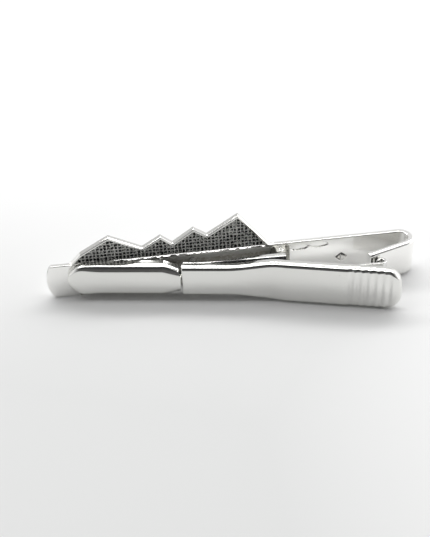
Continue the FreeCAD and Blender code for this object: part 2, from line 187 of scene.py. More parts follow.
class JawSizes(bpy.types.PropertyGroup):
    """Boat-shaped jaw with its waist, leaf and knuckle."""

    reach: length("Reach", 33.1, "Distance of the jaw's tip from the pivot")
    width: length("Width", 5.6, "Width of the jaw")
    tip_depth: length("Tip depth", 1.1, "Depth of the turned edge at the tip")
    sheet: length("Sheet", 0.5, "Thickness of the jaw's sheet")
    tip_width: length("Tip width", 1.8, "Width of the tip")
    tip_taper: length("Tip taper", 1.7, "Length over which the tip narrows")
    heel_width: length("Heel width", 3.5, "Width at the waist")
    heel_taper: length("Heel taper", 2.6, "Length over which the heel narrows")
    shoulder: length("Shoulder", 1.2, "Radius of the rounded shoulders in the middle")
    end_shoulder: length("End shoulder", 0.55, "Radius of the rounded shoulders at tip and heel")
    flange: length("Flange", 2.15, "Depth of the side flanges at the heel")
    flange_slope: share("Flange slope", 0.165, "How fast the flanges deepen from the tip")
    crown: length("Crown", 0.03, "How far the outer face falls off towards its upper side")
    swell_run: length("Swell run", 5.5, "Length over which the shoulders reach their full size")
    flange_lean: share("Flange lean", 0.07, "How far the flanges spread, as a share of their depth")
    neck_width: length("Neck width", 1.4, "Width of the waist's neck")
    leaf_thick: length("Leaf thickness", 0.7, "Thickness of the hinge leaf")
    leaf_swell: length("Leaf swell", 0.5, "How much thicker the leaf is at the pivot")
    leaf_width: length("Leaf width", 4.6, "Width of the leaf at the pivot")
    leaf_end: length("Leaf end", 0.9, "How far the leaf runs on past the pivot")
    leaf_slope: share("Leaf slope", 0.163, "Slope of the leaf away from the lever")
    seat_width: length("Seat width", 5.0, "Width of the leaf's seat under the lever")
    seat_length: length("Seat length", 3.6, "Length of the leaf's seat")
    knuckle_width: length("Knuckle width", 2.9, "Width of the curled knuckle")
    knuckle_radius: length("Knuckle radius", 0.75, "Outer radius of the curled knuckle")
    heel_corner: length("Heel corner", 0.9, "Radius of the outline's corners at the heel")
    tip_corner: length("Tip corner", 4.0, "Radius of the outline's corners towards the tip")
    brim: length("Brim", 0.12, "Radius of the flanges' brim")
    neck_thick: length("Neck thickness", 0.45, "Thickness of the neck")
    leaf_edge: length("Leaf edge", 0.16, "Radius of the leaf's edges")
    knuckle_thick: length("Knuckle thickness", 0.35, "Thickness of the curled sheet")


class LeverSizes(bpy.types.PropertyGroup):
    """Thumb lever with its flared pad, ribs, tongue and rivets."""

    closed_angle: angle("Closed angle", 9.888, "Slope of the closed lever against the bar")
    rise: length("Rise", 5.55, "Distance of the lever's outer face from the pivot")
    thick: length("Thickness", 1.6, "Thickness of the lever")
    back: length("Back", 15.2, "Distance of the lever's square end from the pivot")
    waist: length("Waist gap", 0.22, "Gap between the jaw's heel and the lever")
    narrow: length("Narrow width", 5.4, "Width of the lever's straight stretch")
    wide: length("Pad width", 7.2, "Width of the thumb pad")
    flare_start: length("Flare start", 8.5, "Where the flare begins, before the pivot")
    flare_end: length("Flare end", 0.5, "Where the flare ends, past the pivot")
    bend_back: length("Bend", 3.0, "Where the pad bends outwards, before the pivot")
    pad_bend: angle("Pad bend", 6.2, "How far the pad bends outwards")
    pad_reach: length("Pad reach", 21.3, "Length of the pad from its bend")
    pad_corner: length("Pad corner", 2.6, "Radius of the pad's corners")
    edge_reach: length("Edge reach", 0.6, "How far the rounded upper edge reaches in from the side")
    edge_depth: length("Edge depth", 0.86, "How far the rounded upper edge falls off")
    lower_reach: length("Lower reach", 0.8, "How far the rounded lower edge reaches in from the side")
    lower_depth: length("Lower depth", 0.75, "How far the rounded lower edge falls off")
    inner_round: length("Inner round", 0.18, "Radius of the lever's inner edges")
    crown: length("Crown", 0.02, "How far the outer face falls off towards its upper side")
    groove_count: IntProperty(name="Grooves", description="Number of finger grooves", default=6, min=0)
    groove_pitch: length("Groove pitch", 1.15, "Distance from groove to groove")
    groove_depth: length("Groove depth", 0.14, "Depth of a finger groove")
    groove_inset: length("Groove inset", 1.9, "Distance of the last groove from the pad's end")
    tongue_sheet: length("Tongue sheet", 0.45, "Thickness of the tongue's sheet")
    tongue_width: length("Tongue width", 3.4, "Width of the tongue")
    tongue_curl: length("Tongue curl", 0.8, "Radius of the tongue's curl")
    tongue_clearance: length("Tongue clearance", 0.12, "Gap between the curl and the strap")
    tongue_place: share("Tongue place", 0.8, "Where along the strap the curl bears")
    rivet_radius: length("Rivet radius", 0.45, "Radius of an eyelet's shank")
    rivet_head: length("Rivet head", 0.6, "Radius of an eyelet's rolled head")
    rivet_height: length("Rivet height", 1.35, "Height of the rolled head")
    rivet_spread: length("Rivet spread", 3.6, "Distance between the two eyelets")
    rivet_place: share("Rivet place", 0.4, "Where along the leaf's seat the eyelets sit")


class FinishColours(bpy.types.PropertyGroup):
    """Colours of the metal and of the table."""

    # Silver is a darker copy of the strip's sheet silver: painted shade on the pressed pieces
    silver: colour("Silver", (0.81, 0.808, 0.785), "Polished silver")
    sheet: colour("Sheet", (0.95, 0.945, 0.925), "Bright silver of the bent strip")
    film: colour("Film", (0.68, 0.67, 0.61), "Dull film where the polish can't reach")
    tarnish: colour("Tarnish", (0.52, 0.49, 0.43), "Thin tarnish in sheltered places")
    # Dark colour of the oxidised pits, used also as painted shade on the leaf's lever side
    oxide_and_shade: colour("Oxide", (0.035, 0.035, 0.037), "Blackened pits of the hollow")
    ridge: colour("Ridge", (0.92, 0.92, 0.88), "Worn ridges between the pits")
    # The table is painted dimmer in front of the clip and lighter behind and beside it, standing in for the
    # fall of the lamps' light
    table: colour("Table", (0.775, 0.78, 0.775), "White table in front of the clip")
    table_painted_lit: colour("Far table", (0.98, 0.98, 0.98), "White table behind the clip")


class StageSettings(bpy.types.PropertyGroup):
    """Camera, lamps and surroundings."""

    target: FloatVectorProperty(name="Target", description="Point that the camera looks at", size=3,
                                unit="LENGTH", precision=5, default=(-0.002541, -0.000388, 0.002405))
    azimuth: angle("Azimuth", -4.970, "Camera's turn round the clip")
    elevation: angle("Elevation", 37.247, "Camera's height above the table, as an angle")
    roll: angle("Roll", -2.943, "Camera's roll")
    distance: length("Distance", 159.264, "Distance of the camera from its target")
    lens: FloatProperty(name="Lens", description="Focal length for a 36 mm long side", default=67.32,
                        unit="CAMERA")
    lamp_reach: length("Lamp reach", 420.0, "Distance of the lamps from the clip")
    lamp_depth: length("Lamp depth", 90.0, "Depth of each lamp")
    lamp_length: length("Lamp length", 800.0, "Length of each lamp")
    high_lamp: level("High lamp", 3.3, "Brightness of the lamp overhead")
    high_angle: angle("High lamp angle", 90.5, "Angle of the lamp overhead, from the front")
    back_lamp: level("Back lamp", 5.5, "Brightness of the lamp behind")
    back_angle: angle("Back lamp angle", 124.0, "Angle of the lamp behind, from the front")
    backdrop: level("Backdrop", 0.72, "Brightness of the pale wall behind")
    ceiling: level("Ceiling", 0.4, "Brightness between the lamps")
    side_walls: share("Side walls", 1.0, "Brightness of the walls to the left and right")
    side_change: share("Side change", 0.25, "How much dimmer the left and brighter the right are")
    room: share("Room", 0.11, "Brightness of the room behind the camera, at the horizon")
    room_high: share("Room overhead", 0.02, "Brightness of the room behind the camera, overhead")


class ClipSettings(bpy.types.PropertyGroup):
    """All sizes and colours of the clip and its stage."""

    strip: PointerProperty(type=StripSizes)
    crest: PointerProperty(type=CrestSizes)
    hinge: PointerProperty(type=HingeSizes)
    jaw: PointerProperty(type=JawSizes)
    lever: PointerProperty(type=LeverSizes)
    finish: PointerProperty(type=FinishColours)
    stage: PointerProperty(type=StageSettings)


# Outlines and sections

def spread(low, high, count):
    """Evenly spaced numbers from low to high, both included."""
    return [low + (high - low) * i / count for i in range(count + 1)]


def arc(centre, radii, start, end, count=ARC_STEPS):
    """Points of an upright oval's arc between two angles in degrees."""
    turns = [math.radians(a) for a in spread(start, end, count)]
    return [(centre[0] + radii[0] * math.cos(a), centre[1] + radii[1] * math.sin(a)) for a in turns]


def flat_section(half, low, high, low_round, high_round, columns):
    """Closed section of a flat strip as (across, depth) pairs, the low side's columns first.

    Each round is a pair: how far it reaches across and how far it reaches in depth.
    """
    low_side, high_side = half - low_round[0], half - high_round[0]
    low_turn, high_turn = low + low_round[1], high - high_round[1]
    ring = [(a, low) for a in spread(-low_side, low_side, columns)]
    ring += arc((low_side, low_turn), low_round, -90, 0)[1:]
    ring += arc((high_side, high_turn), high_round, 0, 90)
    ring += [(a, high) for a in spread(high_side, -high_side, columns)][1:]
    ring += arc((-high_side, high_turn), high_round, 90, 180)[1:]
    ring += arc((-low_side, low_turn), low_round, 180, 270)[:-1]
    return ring


def neighbours(points):
    """Each point of a closed outline between the points before and after it."""
    points = [Vector(p) for p in points]
    return zip(points[-1:] + points[:-1], points, points[1:] + points[:1])


def inset_outline(points, distance):
    """Mitred outline at a distance inside a closed outline that runs clockwise."""
    result = []
    for before, here, after in neighbours(points):
        a, b = (here - before).normalized(), (after - here).normalized()
        inward = Vector((a.y + b.y, -a.x - b.x))
        result.append(here + inward * (distance / (1 + a.dot(b))))
    return result


def round_corners(points, convex_radius, concave_radius, count=4):
    """Closed clockwise outline with an arc of a fixed number of points at each corner."""
    result = []
    for before, here, after in neighbours(points):
        a, b = before - here, after - here
        radius = convex_radius if a.cross(b) > 0 else concave_radius
        cut = min(radius / math.tan(a.angle(b) / 2), 0.45 * a.length, 0.45 * b.length)
        start, end = here + a.normalized() * cut, here + b.normalized() * cut
        for t in spread(0, 1, count):
            result.append(start * (1 - t) ** 2 + here * (2 * t * (1 - t)) + end * t ** 2)
    return result


def edge_distance(outline, point):
    """Distance of a point from the nearest side of a closed outline."""
    best = 1.0
    for a, b in zip(outline, outline[1:] + outline[:1]):
        dx, dy = b[0] - a[0], b[1] - a[1]
        px, py = point[0] - a[0], point[1] - a[1]
        run = dx * dx + dy * dy
        t = min(1.0, max(0.0, (px * dx + py * dy) / run)) if run else 0.0
        best = min(best, math.hypot(px - t * dx, py - t * dy))
    return best


def edge_drop(distance, reach, depth):
    """How far an oval edge has fallen off at a distance inside it."""
    if distance >= reach or reach <= 0:
        return 0.0
    return depth * (1 - math.sqrt(max(0.0, 1 - (1 - distance / reach) ** 2)))


def edge_round(radius, steps):
    """Quarter round as pairs: how far each of its lines lies inside the side and inside the face."""
    return [(radius * (1 - math.sin(a)), radius * (1 - math.cos(a))) for a in spread(0, math.pi / 2, steps)]


def smooth(t):
    """Smooth step from nought to one."""
    t = min(1.0, max(0.0, t))
    return t * t * (3 - 2 * t)


def between(low, high, t):
    """Number between two others."""
    return low + (high - low) * t


def apart(items, place):
    """Sorted items without those whose place is the same as the one before."""
    return [item for i, item in enumerate(items) if i == 0 or place(item) - place(items[i - 1]) > SAME]


def skin(bm, rings):
    """Join closed rings of equal length with quads, and close both ends."""
    rows = [[bm.verts.new(p) for p in ring] for ring in rings]
    for a, b in zip(rows, rows[1:]):
        for i in range(len(a)):
            j = (i + 1) % len(a)
            bm.faces.new((a[i], a[j], b[j], b[i]))
    bm.faces.new(rows[0][::-1])
    bm.faces.new(rows[-1])


def slab(bm, outline, low, high, edge, place):
    """Plate of a clockwise outline from low to high, with rounded edges, put in place by a function."""
    rounds = edge_round(edge, 4)
    steps = [(inset, low + rise) for inset, rise in rounds]
    steps += [(inset, high - rise) for inset, rise in reversed(rounds)]
    skin(bm, [[place(p.x, p.y, depth) for p in inset_outline(outline, inset)] for inset, depth in steps])


def lathe(bm, profile, place, count=28):
    """Solid of revolution from (radius, height) pairs, put in place by a function of three lengths."""
    turns = [2 * math.pi * i / count for i in range(count)]
    skin(bm, [[place(r * math.cos(a), height, r * math.sin(a)) for a in turns] for r, height in profile])


def strip_along(bm, path, widths, thicks, edge, place, columns=6, bevel=1.0):
    """Flat strip along a path of one of its faces; its thickness grows to the path's left.

    The bevel enlarges the rounded edges of the path's own face: in depth all along, across more and more.
    """
    last = len(path) - 1
    ways = []
    for i in range(len(path)):
        a, b = Vector(path[max(i - 1, 0)]), Vector(path[min(i + 1, last)])
        ways.append((b - a).normalized())

    def ring(i, inset=0.0, shift=0.0):
        near = edge - END_LOSS * inset
        grown = 1.25 * i / last - 0.25
        own = (near * (1 + (bevel - 1) * grown), near * bevel)
        section = flat_section(widths[i] / 2 - inset, inset, thicks[i] - inset, own, (near, near), columns)
        x, y = path[i][0] + ways[i].x * shift, path[i][1] + ways[i].y * shift
        return [place(x - ways[i].y * d, y + ways[i].x * d, a) for a, d in section]

    ends = edge_round(edge, 3)
    rings = [ring(0, inset, shift) for inset, shift in ends]
    rings += [ring(i) for i in range(1, last)]
    rings += [ring(last, inset, -shift) for inset, shift in reversed(ends)]
    skin(bm, rings)


def even_strip(bm, path, width, thick, place):
    """Thin strip of one width and thickness along a path."""
    strip_along(bm, path, [width] * len(path), [thick] * len(path), STRIP_EDGE, place)


def curled_path(start, centre, radius, sweep, steps=26):
    """Line from a point that touches a circle from below, then round it against the clock, in degrees."""
    to = Vector(centre) - Vector(start)
    first = math.degrees(math.atan2(-to.y, -to.x) + math.acos(radius / to.length))
    curl = arc(centre, (radius, radius), first, first + sweep, steps)
    straight = [tuple(Vector(start).lerp(Vector(curl[0]), t)) for t in spread(0, 1, 16)]
    return straight[:-1] + curl


def lever_place(settings):
    """Function that takes a point of the lever's own frame to the part's frame."""
    turn = Matrix.Translation(HINGE) @ Matrix.Rotation(-settings.lever.closed_angle, 4, "Z")
    return lambda x, y, z: turn @ Vector((x, y, z))


def mesh_object(name, bm, materials):
    """Turn a bmesh into an object of the scene."""
    if not bm.faces:
        raise RuntimeError(f"{name} came out without faces")
    mesh = bpy.data.meshes.new(name)
    bm.to_mesh(mesh)
    bm.free()
    for material in materials:
        mesh.materials.append(material)
    made = bpy.data.objects.new(name, mesh)
    bpy.context.scene.collection.objects.link(made)
    return made


def new_piece(name, bm, materials, body, *nodes):
    """Turn a bmesh into a smooth-shaded piece that stands for CAD nodes and rides on a body."""
    bmesh.ops.remove_doubles(bm, verts=bm.verts, dist=1e-8)
    bmesh.ops.recalc_face_normals(bm, faces=bm.faces)
    piece = mesh_object(name, bm, materials)
    piece.data.shade_smooth()
    piece.data.set_sharp_from_angle(angle=math.radians(48))
    even = piece.modifiers.new("Even shading", "WEIGHTED_NORMAL")
    even.keep_sharp = True
    if body:
        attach(piece, body)
    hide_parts(*nodes)
    return piece


# Materials

def feed(tree, socket, value):
    """Set an input socket, or link another socket to it."""
    if isinstance(value, bpy.types.NodeSocket):
        tree.links.new(value, socket)
    else:
        socket.default_value = value


def add_node(tree, kind, **inputs):
    """New shader node with its inputs fed; an underscore stands for the space in an input's name."""
    node = tree.nodes.new("ShaderNode" + kind)
    for label, value in inputs.items():
        feed(tree, node.inputs[label.replace("_", " ")], value)
    return node


def noise(tree, vector, scale, detail=3.0, roughness=0.55):
    """Noise at a vector."""
    node = add_node(tree, "TexNoise", Vector=vector, Scale=scale, Detail=detail, Roughness=roughness)
    return node.outputs["Fac"]


def remap(tree, value, low, high, to_low, to_high):
    """Map a socket from one range to another."""
    node = add_node(tree, "MapRange", Value=value, From_Min=low, From_Max=high, To_Min=to_low, To_Max=to_high)
    return node.outputs["Result"]


def math_node(tree, operation, a, b):
    """Math node from two sockets or numbers."""
    node = tree.nodes.new("ShaderNodeMath")
    node.operation = operation
    feed(tree, node.inputs[0], a)
    feed(tree, node.inputs[1], b)
    return node.outputs["Value"]


def mix_colour(tree, factor, a, b):
    """Colour mix between two linear colours or sockets, driven by a socket."""
    node = add_node(tree, "Mix")
    node.data_type = "RGBA"
    tree.links.new(factor, node.inputs["Factor"])
    for label, value in (("A", a), ("B", b)):
        socket = next(s for s in node.inputs if s.name == label and s.type == "RGBA")
        feed(tree, socket, value if isinstance(value, bpy.types.NodeSocket) else (*value, 1.0))
    return next(s for s in node.outputs if s.type == "RGBA")


def node_group(name, inputs, outputs):
    """New shader node group with named numbers in and out, or the one that is there already."""
    found = bpy.data.node_groups.get(name)
    if found:
        return found, None, None
    tree = bpy.data.node_groups.new(name, "ShaderNodeTree")
    for label, default in inputs.items():
        socket = tree.interface.new_socket(label, in_out="INPUT", socket_type="NodeSocketFloat")
        socket.default_value = default
    for label in outputs:
        tree.interface.new_socket(label, in_out="OUTPUT", socket_type="NodeSocketFloat")
    return tree, tree.nodes.new("NodeGroupInput").outputs, tree.nodes.new("NodeGroupOutput").inputs


def handling_group():
    """Haze, polishing lines, slow waves and specks that handled silver shows."""
    inputs = {"Haze": 0.06, "Polish": 0.1, "Waves": 0.5, "Specks": 0.5}
    tree, entry, leave = node_group("Handled silver", inputs, ("Roughness", "Height", "Speck"))
    if entry is None:
        return tree
    place = add_node(tree, "TexCoord").outputs["Object"]
    smudge = remap(tree, noise(tree, place, 260.0, 4.0, 0.6), 0.35, 0.7, 0.0, 1.0)
    haze = math_node(tree, "MULTIPLY", smudge, entry["Haze"])
    tree.links.new(math_node(tree, "ADD", haze, entry["Polish"]), leave["Roughness"])
    drawn = add_node(tree, "Mapping", Vector=place, Scale=(0.12, 1.0, 1.0)).outputs["Vector"]
    fine = math_node(tree, "MULTIPLY", noise(tree, drawn, 9000.0, 2.0), 0.012)
    waves = math_node(tree, "MULTIPLY", noise(tree, place, 420.0, 1.0), entry["Waves"])
    tree.links.new(math_node(tree, "ADD", waves, fine), leave["Height"])
    pits = add_node(tree, "TexVoronoi", Vector=place, Scale=520.0, Randomness=1.0).outputs
    spot = remap(tree, pits["Distance"], 0.05, 0.075, 1.0, 0.0)
    few = add_node(tree, "SeparateColor", Color=pits["Color"]).outputs["Red"]
    speck = math_node(tree, "MULTIPLY", spot, remap(tree, few, 0.9, 0.92, 0.0, 1.0))
    tree.links.new(math_node(tree, "MULTIPLY", speck, entry["Specks"]), leave["Speck"])
    return tree


def casting_group():
    """Grain of a cast surface that polishing didn't reach, and a mask of its patches."""
    tree, entry, leave = node_group("Casting grain", {"Size": 2600.0, "Cover": 0.5}, ("Grain", "Mask"))
    if entry is None:
        return tree
    place = add_node(tree, "TexCoord").outputs["Object"]
    tree.links.new(noise(tree, place, entry["Size"], 4.0, 0.7), leave["Grain"])
    cover = math_node(tree, "ADD", noise(tree, place, 300.0, 2.0), entry["Cover"])
    tree.links.new(remap(tree, cover, 0.85, 1.2, 0.0, 1.0), leave["Mask"])
    return tree


def group_node(tree, group, **values):
    """Outputs of a node group that is placed with its own input values."""
    node = tree.nodes.new("ShaderNodeGroup")
    node.node_tree = group
    for label, value in values.items():
        node.inputs[label].default_value = value
    return node.outputs


def new_material(name):
    """Empty node material and its tree, or the one that is there already."""
    found = bpy.data.materials.get(name)
    if found:
        return found, None
    material = bpy.data.materials.new(name)
    material.use_nodes = True
    return material, material.node_tree


def dress(tree, base, roughness, relief, metallic=1.0):
    """Feed the shader of a metal; the relief is a bump's height, strength and distance."""
    height, strength, distance = relief
    normal = add_node(tree, "Bump", Height=height, Strength=strength, Distance=distance).outputs["Normal"]
    inputs = tree.nodes["Principled BSDF"].inputs
    feed(tree, inputs["Base Color"], base)
    feed(tree, inputs["Roughness"], roughness)
    feed(tree, inputs["Metallic"], metallic)
    feed(tree, inputs["Normal"], normal)


def handled_silver(name, tone, finish):
    """Mirror silver of one tone with handling haze, slow waves and a few specks."""
    material, tree = new_material(name)
    if tree:
        handled = group_node(tree, handling_group(), Haze=0.06, Polish=0.11, Waves=0.6, Specks=0.6)
        base = mix_colour(tree, handled["Speck"], tone, finish.tarnish)
        dress(tree, base, handled["Roughness"], (handled["Height"], 0.25, 0.00012))
    return material


def polished_silver(finish):
    """Silver of the pressed pieces: jaw, lever and their fittings, darker than the strip's: painted shade for
    the shaded table their faces reflect.
    """
    return handled_silver("clip_pressed", finish.silver, finish)


def sheet_silver(finish):
    """Brighter silver of the bent strip."""
    return handled_silver("clip_sheet", finish.sheet, finish)


def sheltered_silver(finish):
    """Silver of the bar's back: dull, with casting grain and a darker tarnish tone mottled in by the grain,
    painted bright along its upper edge as painted light.
    """
    material, tree = new_material("clip_sheltered")
    if tree:
        handled = group_node(tree, handling_group(), Haze=0.15, Polish=0.42, Waves=0.8)
        cast = group_node(tree, casting_group(), Size=2600.0, Cover=0.45)
        place = add_node(tree, "TexCoord").outputs["Object"]
        height = add_node(tree, "SeparateXYZ", Vector=place).outputs["Z"]
        # Painted light: above about 5.1 mm, with an edge made ragged by the grain, the back takes the bright
        # sheet silver as if lit along its upper edge
        ragged = math_node(tree, "ADD", height, math_node(tree, "MULTIPLY", cast["Grain"], 0.0012))
        lit = remap(tree, ragged, 0.0051, 0.0056, 0.0, 1.0)
        bright_share = math_node(tree, "MAXIMUM", lit, remap(tree, cast["Grain"], 0.5, 0.6, 0.3, 0.9))
        base = mix_colour(tree, bright_share, finish.tarnish, finish.sheet)
        grain = math_node(tree, "MULTIPLY", cast["Grain"], cast["Mask"])
        relief = math_node(tree, "ADD", grain, handled["Height"])
        dress(tree, base, handled["Roughness"], (relief, 0.6, 0.0002))
    return material


def cast_silver(name, size, bare, tones, dullness, relief, metallic=None):
    """Silver with a casting's skin, all of it ruled by the grain.

    Bare is the range of grain over which the second tone comes in, with the shares at both its ends.
    Metallic, if given, has two values for the same range. Dullness is the roughness of low and high grain,
    relief the strength and distance of the bump.
    """
    material, tree = new_material(name)
    if tree:
        grain = group_node(tree, casting_group(), Size=size)["Grain"]
        base = mix_colour(tree, remap(tree, grain, *bare), *tones)
        metal = remap(tree, grain, *bare[:2], *metallic) if metallic else 1.0
        dress(tree, base, remap(tree, grain, 0.3, 0.7, *dullness), (grain, *relief), metal)
    return material


def soldered_silver(finish):
    """Dull silver for the small bracket that is soldered on."""
    return cast_silver("clip_soldered", 3200.0, (0.38, 0.52, 0.1, 0.75), (finish.oxide_and_shade, finish.film),
                       (0.3, 0.5), (0.5, 0.00008))


def oxide_and_painted_shade(finish):
    """Oxidised silver in the pits of the hollow; the same dark finish is painted shade on the leaf's lever
    side and darkens the lozenge's upward walls.
    """
    return cast_silver("clip_oxide_and_painted_shade", 5200.0, (0.52, 0.72, 0.0, 0.4), (finish.oxide_and_shade, finish.ridge),
                       (0.35, 0.6), (0.4, 0.00005))


def ridges_and_glints(finish):
    """Ridges between the pits, bare of the dark skin where wear took it off; the same metal gives a share of
    the upward pit walls painted highlights.
    """
    return cast_silver("clip_ridges", 3400.0, (0.44, 0.58, 0.0, 1.0), (finish.ridge, finish.sheet),
                       (0.2, 0.42), (1.0, 0.0003), (0.9, 0.3))


def table_white(finish):
    """White of the table, painted lighter behind the clip and beside it and dimmer in front: painted light
    for the lamps' fall-off.
    """
    material, tree = new_material("table_white")
    if tree:
        place = add_node(tree, "TexCoord").outputs["Object"]
        split = add_node(tree, "SeparateXYZ", Vector=place).outputs
        slant = math_node(tree, "ADD", split["Y"], math_node(tree, "MULTIPLY", split["X"], 0.4))
        fleck = math_node(tree, "MULTIPLY", noise(tree, place, 60.0), 0.006)
        # Painted light: the share of the lighter table colour grows towards the back and to the right
        behind = remap(tree, math_node(tree, "ADD", slant, fleck), -0.03, 0.045, 0.0, 1.0)
        aside = remap(tree, split["X"], 0.0, 0.035, 0.0, 0.8)
        far = math_node(tree, "MAXIMUM", behind, aside)
        shader = tree.nodes["Principled BSDF"]
        tree.links.new(mix_colour(tree, far, finish.table, finish.table_painted_lit), shader.inputs["Base Color"])
        shader.inputs["Roughness"].default_value = 0.6
        shader.inputs["Specular IOR Level"].default_value = 0.1
    return material


# Pieces

def dimple(x, z):
    """Share of the full depth at a point of the bar's back: two blank ovals and a lozenge."""
    oval = any(((x - cx) / half_x) ** 2 + ((z - cz) / half_z) ** 2 < 1 for cx, cz, half_x, half_z in OVALS)
    cx, cz, half_x, half_z = LOZENGE
    return oval + LOZENGE_DEPTH * max(0.0, 1 - abs(x - cx) / half_x - abs(z - cz) / half_z)


class CLIP_OT_strip(bpy.types.Operator):
    """Build the bent strip: bar, bow and return strap in one piece"""

    bl_idname = "tie_clip.strip"
    bl_label = "Bent strip"

    def execute(self, context):
        clip = context.scene.tie_clip
        sizes = clip.strip
        half_thick = (BAR_HIGH.y - BAR_LOW.y) / 2 - 0.2 * HAIR
        half_wide = (BAR_HIGH.z - BAR_LOW.z) / 2
        middle = BAR_LOW.z + half_wide
        radius = -BOW.y
        edge = sizes.inner_round
        bulge = sizes.end_bulge
        bulge_radius = (half_wide ** 2 + bulge ** 2) / (2 * bulge)
        bulge_run = 4 * bulge
        columns = 70

        # Middle line of the strip: bar, bow, strap; each with the way it faces outwards
        along_bar = spread(BAR_LOW.x, FINE_START, 34)[1:] + spread(FINE_START, FINE_END, 116)[1:]
        along_bar += spread(FINE_END, BOW.x, 8)[1:]
        line = [((x, 0.0), (0.0, 1.0), 0.0) for x in along_bar]
        for a in spread(math.pi / 2, sizes.strap_splay - math.pi / 2, 40)[1:]:
            out = (math.cos(a), math.sin(a))
            line.append(((BOW.x + radius * out[0], BOW.y + radius * out[1]), out, 0.0))
        (start_x, start_y), out, _ = line[-1]
        ends = edge_round(edge, 3)
        strap = [(along, 0.0) for along in spread(0.0, sizes.strap_run - edge, 8)[1:]]
        strap += [(sizes.strap_run - shift, inset) for inset, shift in reversed(ends[:-1])]
        run_x, run_y = math.cos(sizes.strap_splay), math.sin(sizes.strap_splay)
        line += [((start_x - along * run_x, start_y - along * run_y), out, inset) for along, inset in strap]
        line = [((BAR_LOW.x + shift, 0.0), (0.0, 1.0), inset) for inset, shift in ends] + line

        def ring(at, facing, inset):
            near, far = edge - END_LOSS * inset, sizes.outer_round - END_LOSS * inset
            section = flat_section(half_wide - inset, inset - half_thick, half_thick - inset,
                                   (near, near), (far, far), columns)
            points = []
            for index, (across, depth) in enumerate(section):
                x = at[0]
                if index <= columns and facing[0] == 0:
                    depth += sizes.dimple_depth * dimple(x, middle + across)
                if x < BAR_LOW.x + bulge_run:
                    back = bulge_radius - math.sqrt(bulge_radius ** 2 - across ** 2)
                    x += back * (1 - (x - BAR_LOW.x) / bulge_run)
                points.append(Vector((x + facing[0] * depth, at[1] + facing[1] * depth, middle + across)))
            return points

        bm = bmesh.new()
        skin(bm, [ring(*station) for station in line])
        self.paint(bm)
        finishes = [sheet_silver(clip.finish), sheltered_silver(clip.finish), oxide_and_painted_shade(clip.finish)]
        piece = new_piece("bent_strip", bm, finishes, None, "front_bar", "spring_bow", "return_strap")
        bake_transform(piece)
        return {"FINISHED"}

    def paint(self, bm):
        """Give the bar's back under the crest its dull finish with its painted lit band, and the lozenge's
        upward walls the dark finish of the pits.
        """
        crest_start, crest_end = (corner.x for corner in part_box("crest"))
        film_start = crest_start + 0.001
        x, z, half_x, half_z = LOZENGE
        bm.normal_update()
        for face in bm.faces:
            at = face.calc_center_median()
            behind = film_start < at.x < crest_end and at.y < 0.2 * BAR_LOW.y
            in_lozenge = abs(at.x - x) < half_x and abs(at.z - z) < 1.5 * half_z and at.y < 0
            face.material_index = 2 if in_lozenge and face.normal.z > 0.2 else 1 if behind else 0


class CLIP_OT_crest(bpy.types.Operator):
    """Build the skyline crest with its rim and pitted hollow"""

    bl_idname = "tie_clip.crest"
    bl_label = "Skyline crest"

    def execute(self, context):
        clip = context.scene.tie_clip
        sizes = clip.crest
        low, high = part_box("crest")
        edge = sizes.edge_round
        root = low.z - 2 * sizes.rim
        wide, tall = high.x - low.x, high.z - low.z
        outline = [(low.x + along * wide, low.z + up * tall) for along, up in SKYLINE_SHARES]
        outline = [(outline[0][0], root)] + outline + [(outline[-1][0], root)]

        def ring(inset, depth):
            convex = max(sizes.corner_round - inset, 3 * HAIR)
            shape = round_corners(inset_outline(outline, inset), convex, sizes.corner_round + inset)
            return [Vector((p.x, depth, p.y)) for p in shape]

        front, back = high.y, low.y + HAIR
        bevel = back + sizes.bevel_depth
        soft = 0.5 * edge
        floor = back + sizes.hollow_depth + sizes.pit_depth + 4 * HAIR
        bm = bmesh.new()
        skin(bm, [
            ring(edge, front),
            ring(CHAMFER * edge, front - CHAMFER * edge),
            ring(0.0, front - edge),
            ring(0.0, bevel + 0.3 * edge),
            ring(0.1 * edge, bevel),
            ring(sizes.bevel_drop - 0.1 * edge, back + 0.3 * edge),
            ring(sizes.bevel_drop + 0.2 * edge, back),
            ring(sizes.rim - soft, back),
            ring(sizes.rim - CHAMFER * soft, back + CHAMFER * soft),
            ring(sizes.rim, back + soft),
            ring(sizes.rim + 2 * HAIR, floor),
        ])
        new_piece("crest_plate", bm, [polished_silver(clip.finish)], "bar", "crest")
        hollow = [tuple(p) for p in inset_outline(outline, sizes.rim - 3 * HAIR)][1:-1]
        pits = pitted_floor(clip, hollow, low.z + sizes.lip, back)
        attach(pits, "bar")
        self.lip(clip, low, back, hollow[0][0], hollow[-1][0])
        return {"FINISHED"}

    def lip(self, clip, low, back, left, right):
        """Sloping ledge between the pits and the bar's back, with the small knocks of its casting."""
        sizes = clip.crest
        lip = sizes.lip
        ledge = back + sizes.hollow_depth
        deep = ledge + sizes.pit_depth
        random = Random(4)
        rings = []
        for x in spread(left - sizes.rim, right + sizes.rim, 150):
            knock = 0.6 * lip * random.random()
            proud = back - sizes.lip_proud * smooth((x - left - sizes.lip_flush) / sizes.lip_flush)
            profile = [
                (back, low.z - 4 * lip), (proud, low.z - 0.8 * lip), (proud, low.z - 0.6 * lip + 0.3 * knock),
                (back + HAIR, low.z - 0.1 * lip + 0.6 * knock), (ledge, low.z + lip + knock),
                (deep, low.z + lip), (deep, low.z - lip),
            ]
            rings.append([Vector((x, y, z)) for y, z in profile])
        bm = bmesh.new()
        skin(bm, rings)
        new_piece("crest_lip", bm, [sheet_silver(clip.finish)], "bar", "crest")


